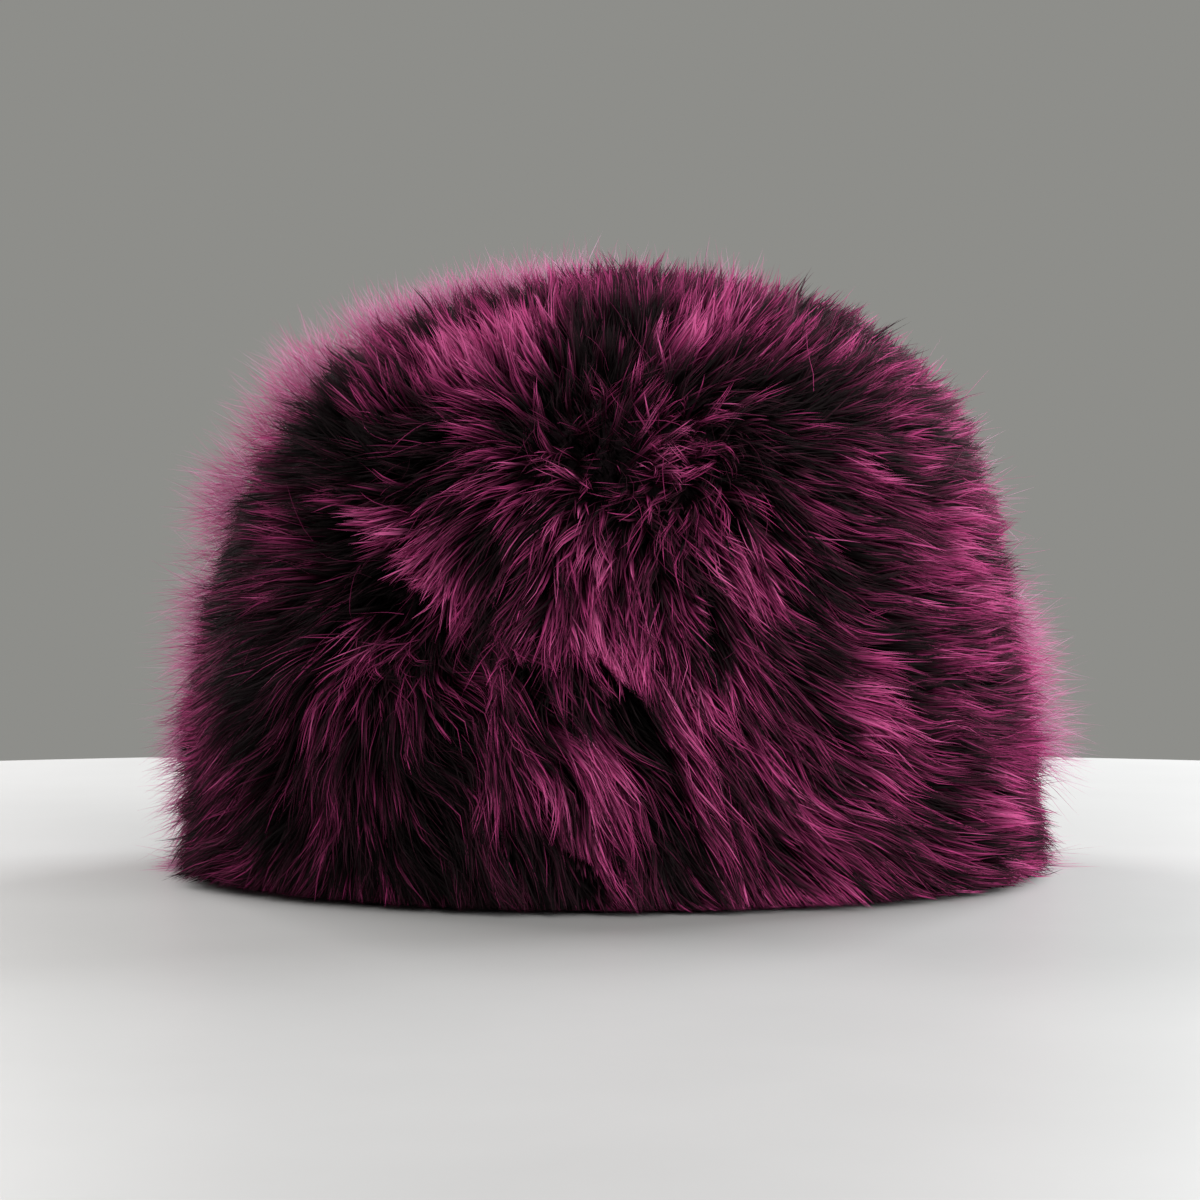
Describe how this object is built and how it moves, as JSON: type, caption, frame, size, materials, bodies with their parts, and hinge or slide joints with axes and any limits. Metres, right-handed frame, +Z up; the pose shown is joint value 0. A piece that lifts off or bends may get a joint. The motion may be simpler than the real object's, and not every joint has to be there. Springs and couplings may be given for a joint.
{
  "type": "cossack hat",
  "caption": "Round brimless cossack hat of deep fur: three fur pelts on skins round an open head hollow, resting on its rim.",
  "frame": {"origin": "centre of the rim, on the surface that the hat rests on", "axes": "+Z up through the crown, -Y towards the front of the hat, +X to the wearer's left"},
  "size_m": [0.2362, 0.2505, 0.1643],
  "materials": {
    "skin": "suede flesh side of a dressed pelt",
    "fur": "long combed fur, black dyed in patches to magenta"
  },
  "bodies": {
    "root": {"crown_skin": "skin", "side_left_skin": "skin", "side_right_skin": "skin", "crown_fur": "fur", "side_left_fur": "fur", "side_right_fur": "fur"}
  },
  "joints": []
}
